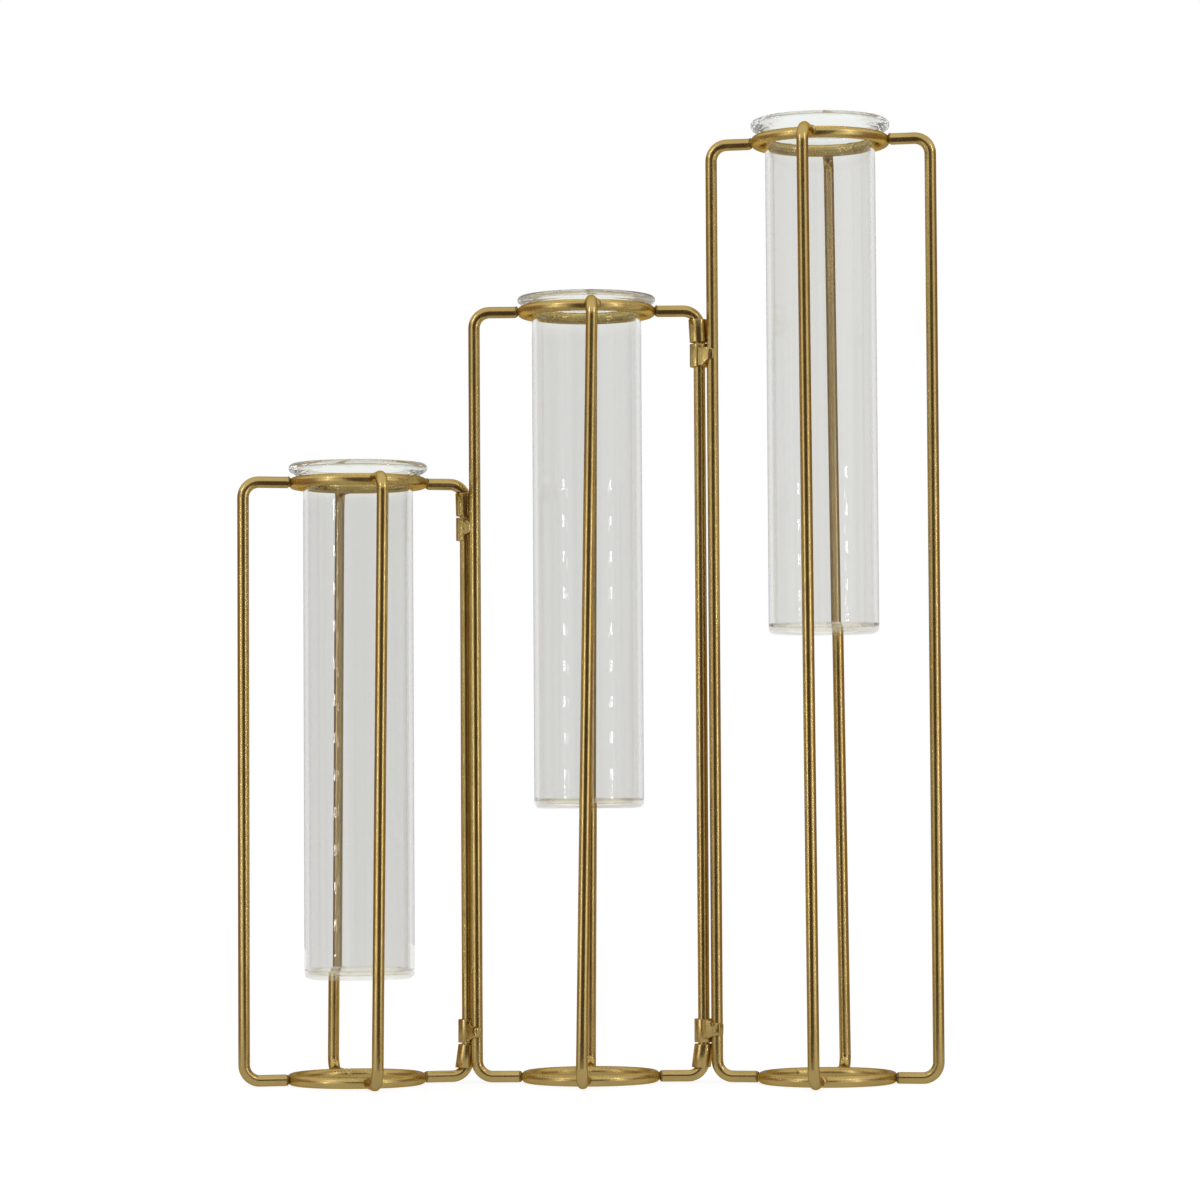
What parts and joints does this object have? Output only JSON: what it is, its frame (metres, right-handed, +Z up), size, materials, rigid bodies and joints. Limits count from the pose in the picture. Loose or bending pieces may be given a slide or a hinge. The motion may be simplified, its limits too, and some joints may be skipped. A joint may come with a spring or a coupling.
{
  "type": "hinged wire bud vase row",
  "caption": "Folding row of stepped gold wire stands hinged at their legs, each hanging a long clear glass tube by its flared lip to hold cut stems.",
  "frame": {"origin": "on the table, at the middle of the row's footprint box at rest", "axes": "+Z up, +X along the row from the short stand to the tall one, +Y to the back"},
  "size_m": [0.2412, 0.0916, 0.3317],
  "materials": {
    "gold_wire": "satin antique gold lacquer on steel wire",
    "gold_sleeve": "satin antique gold lacquer on steel sleeve and weld",
    "clear_glass": "clear, polished"
  },
  "bodies": {
    "medium_stand": {"medium_top_ring": "gold_wire", "medium_base_ring": "gold_wire", "medium_left_leg": "gold_wire", "medium_right_leg": "gold_wire", "medium_front_leg": "gold_wire", "medium_back_leg": "gold_wire", "short_medium_upper_knuckle": "gold_sleeve", "short_medium_lower_knuckle": "gold_sleeve", "medium_tall_upper_stop_collar": "gold_sleeve", "medium_tall_lower_stop_collar": "gold_sleeve"},
    "short_stand": {"short_top_ring": "gold_wire", "short_base_ring": "gold_wire", "short_left_leg": "gold_wire", "short_right_leg": "gold_wire", "short_front_leg": "gold_wire", "short_back_leg": "gold_wire", "short_medium_upper_stop_collar": "gold_sleeve", "short_medium_lower_stop_collar": "gold_sleeve"},
    "tall_stand": {"tall_top_ring": "gold_wire", "tall_base_ring": "gold_wire", "tall_left_leg": "gold_wire", "tall_right_leg": "gold_wire", "tall_front_leg": "gold_wire", "tall_back_leg": "gold_wire", "medium_tall_upper_knuckle": "gold_sleeve", "medium_tall_lower_knuckle": "gold_sleeve"},
    "short_tube": {"short_glass_tube": "clear_glass"},
    "medium_tube": {"medium_glass_tube": "clear_glass"},
    "tall_tube": {"tall_glass_tube": "clear_glass"}
  },
  "joints": [
    {"name": "short_fold", "type": "hinge", "parent": "medium_stand", "child": "short_stand", "pos_m": [-0.04305, 0.00898, 0], "axis": [0, 0, 1], "range_deg": [-105, 35]},
    {"name": "tall_fold", "type": "hinge", "parent": "medium_stand", "child": "tall_stand", "pos_m": [0.0388, 0.00457, 0], "axis": [0, 0, -1], "range_deg": [-97, 66]},
    {"name": "short_tube_lift", "type": "slide", "parent": "short_stand", "child": "short_tube", "axis": [0, 0, 1], "range_m": [0, 0.18]},
    {"name": "medium_tube_lift", "type": "slide", "parent": "medium_stand", "child": "medium_tube", "axis": [0, 0, 1], "range_m": [0, 0.18]},
    {"name": "tall_tube_lift", "type": "slide", "parent": "tall_stand", "child": "tall_tube", "axis": [0, 0, 1], "range_m": [0, 0.18]}
  ]
}
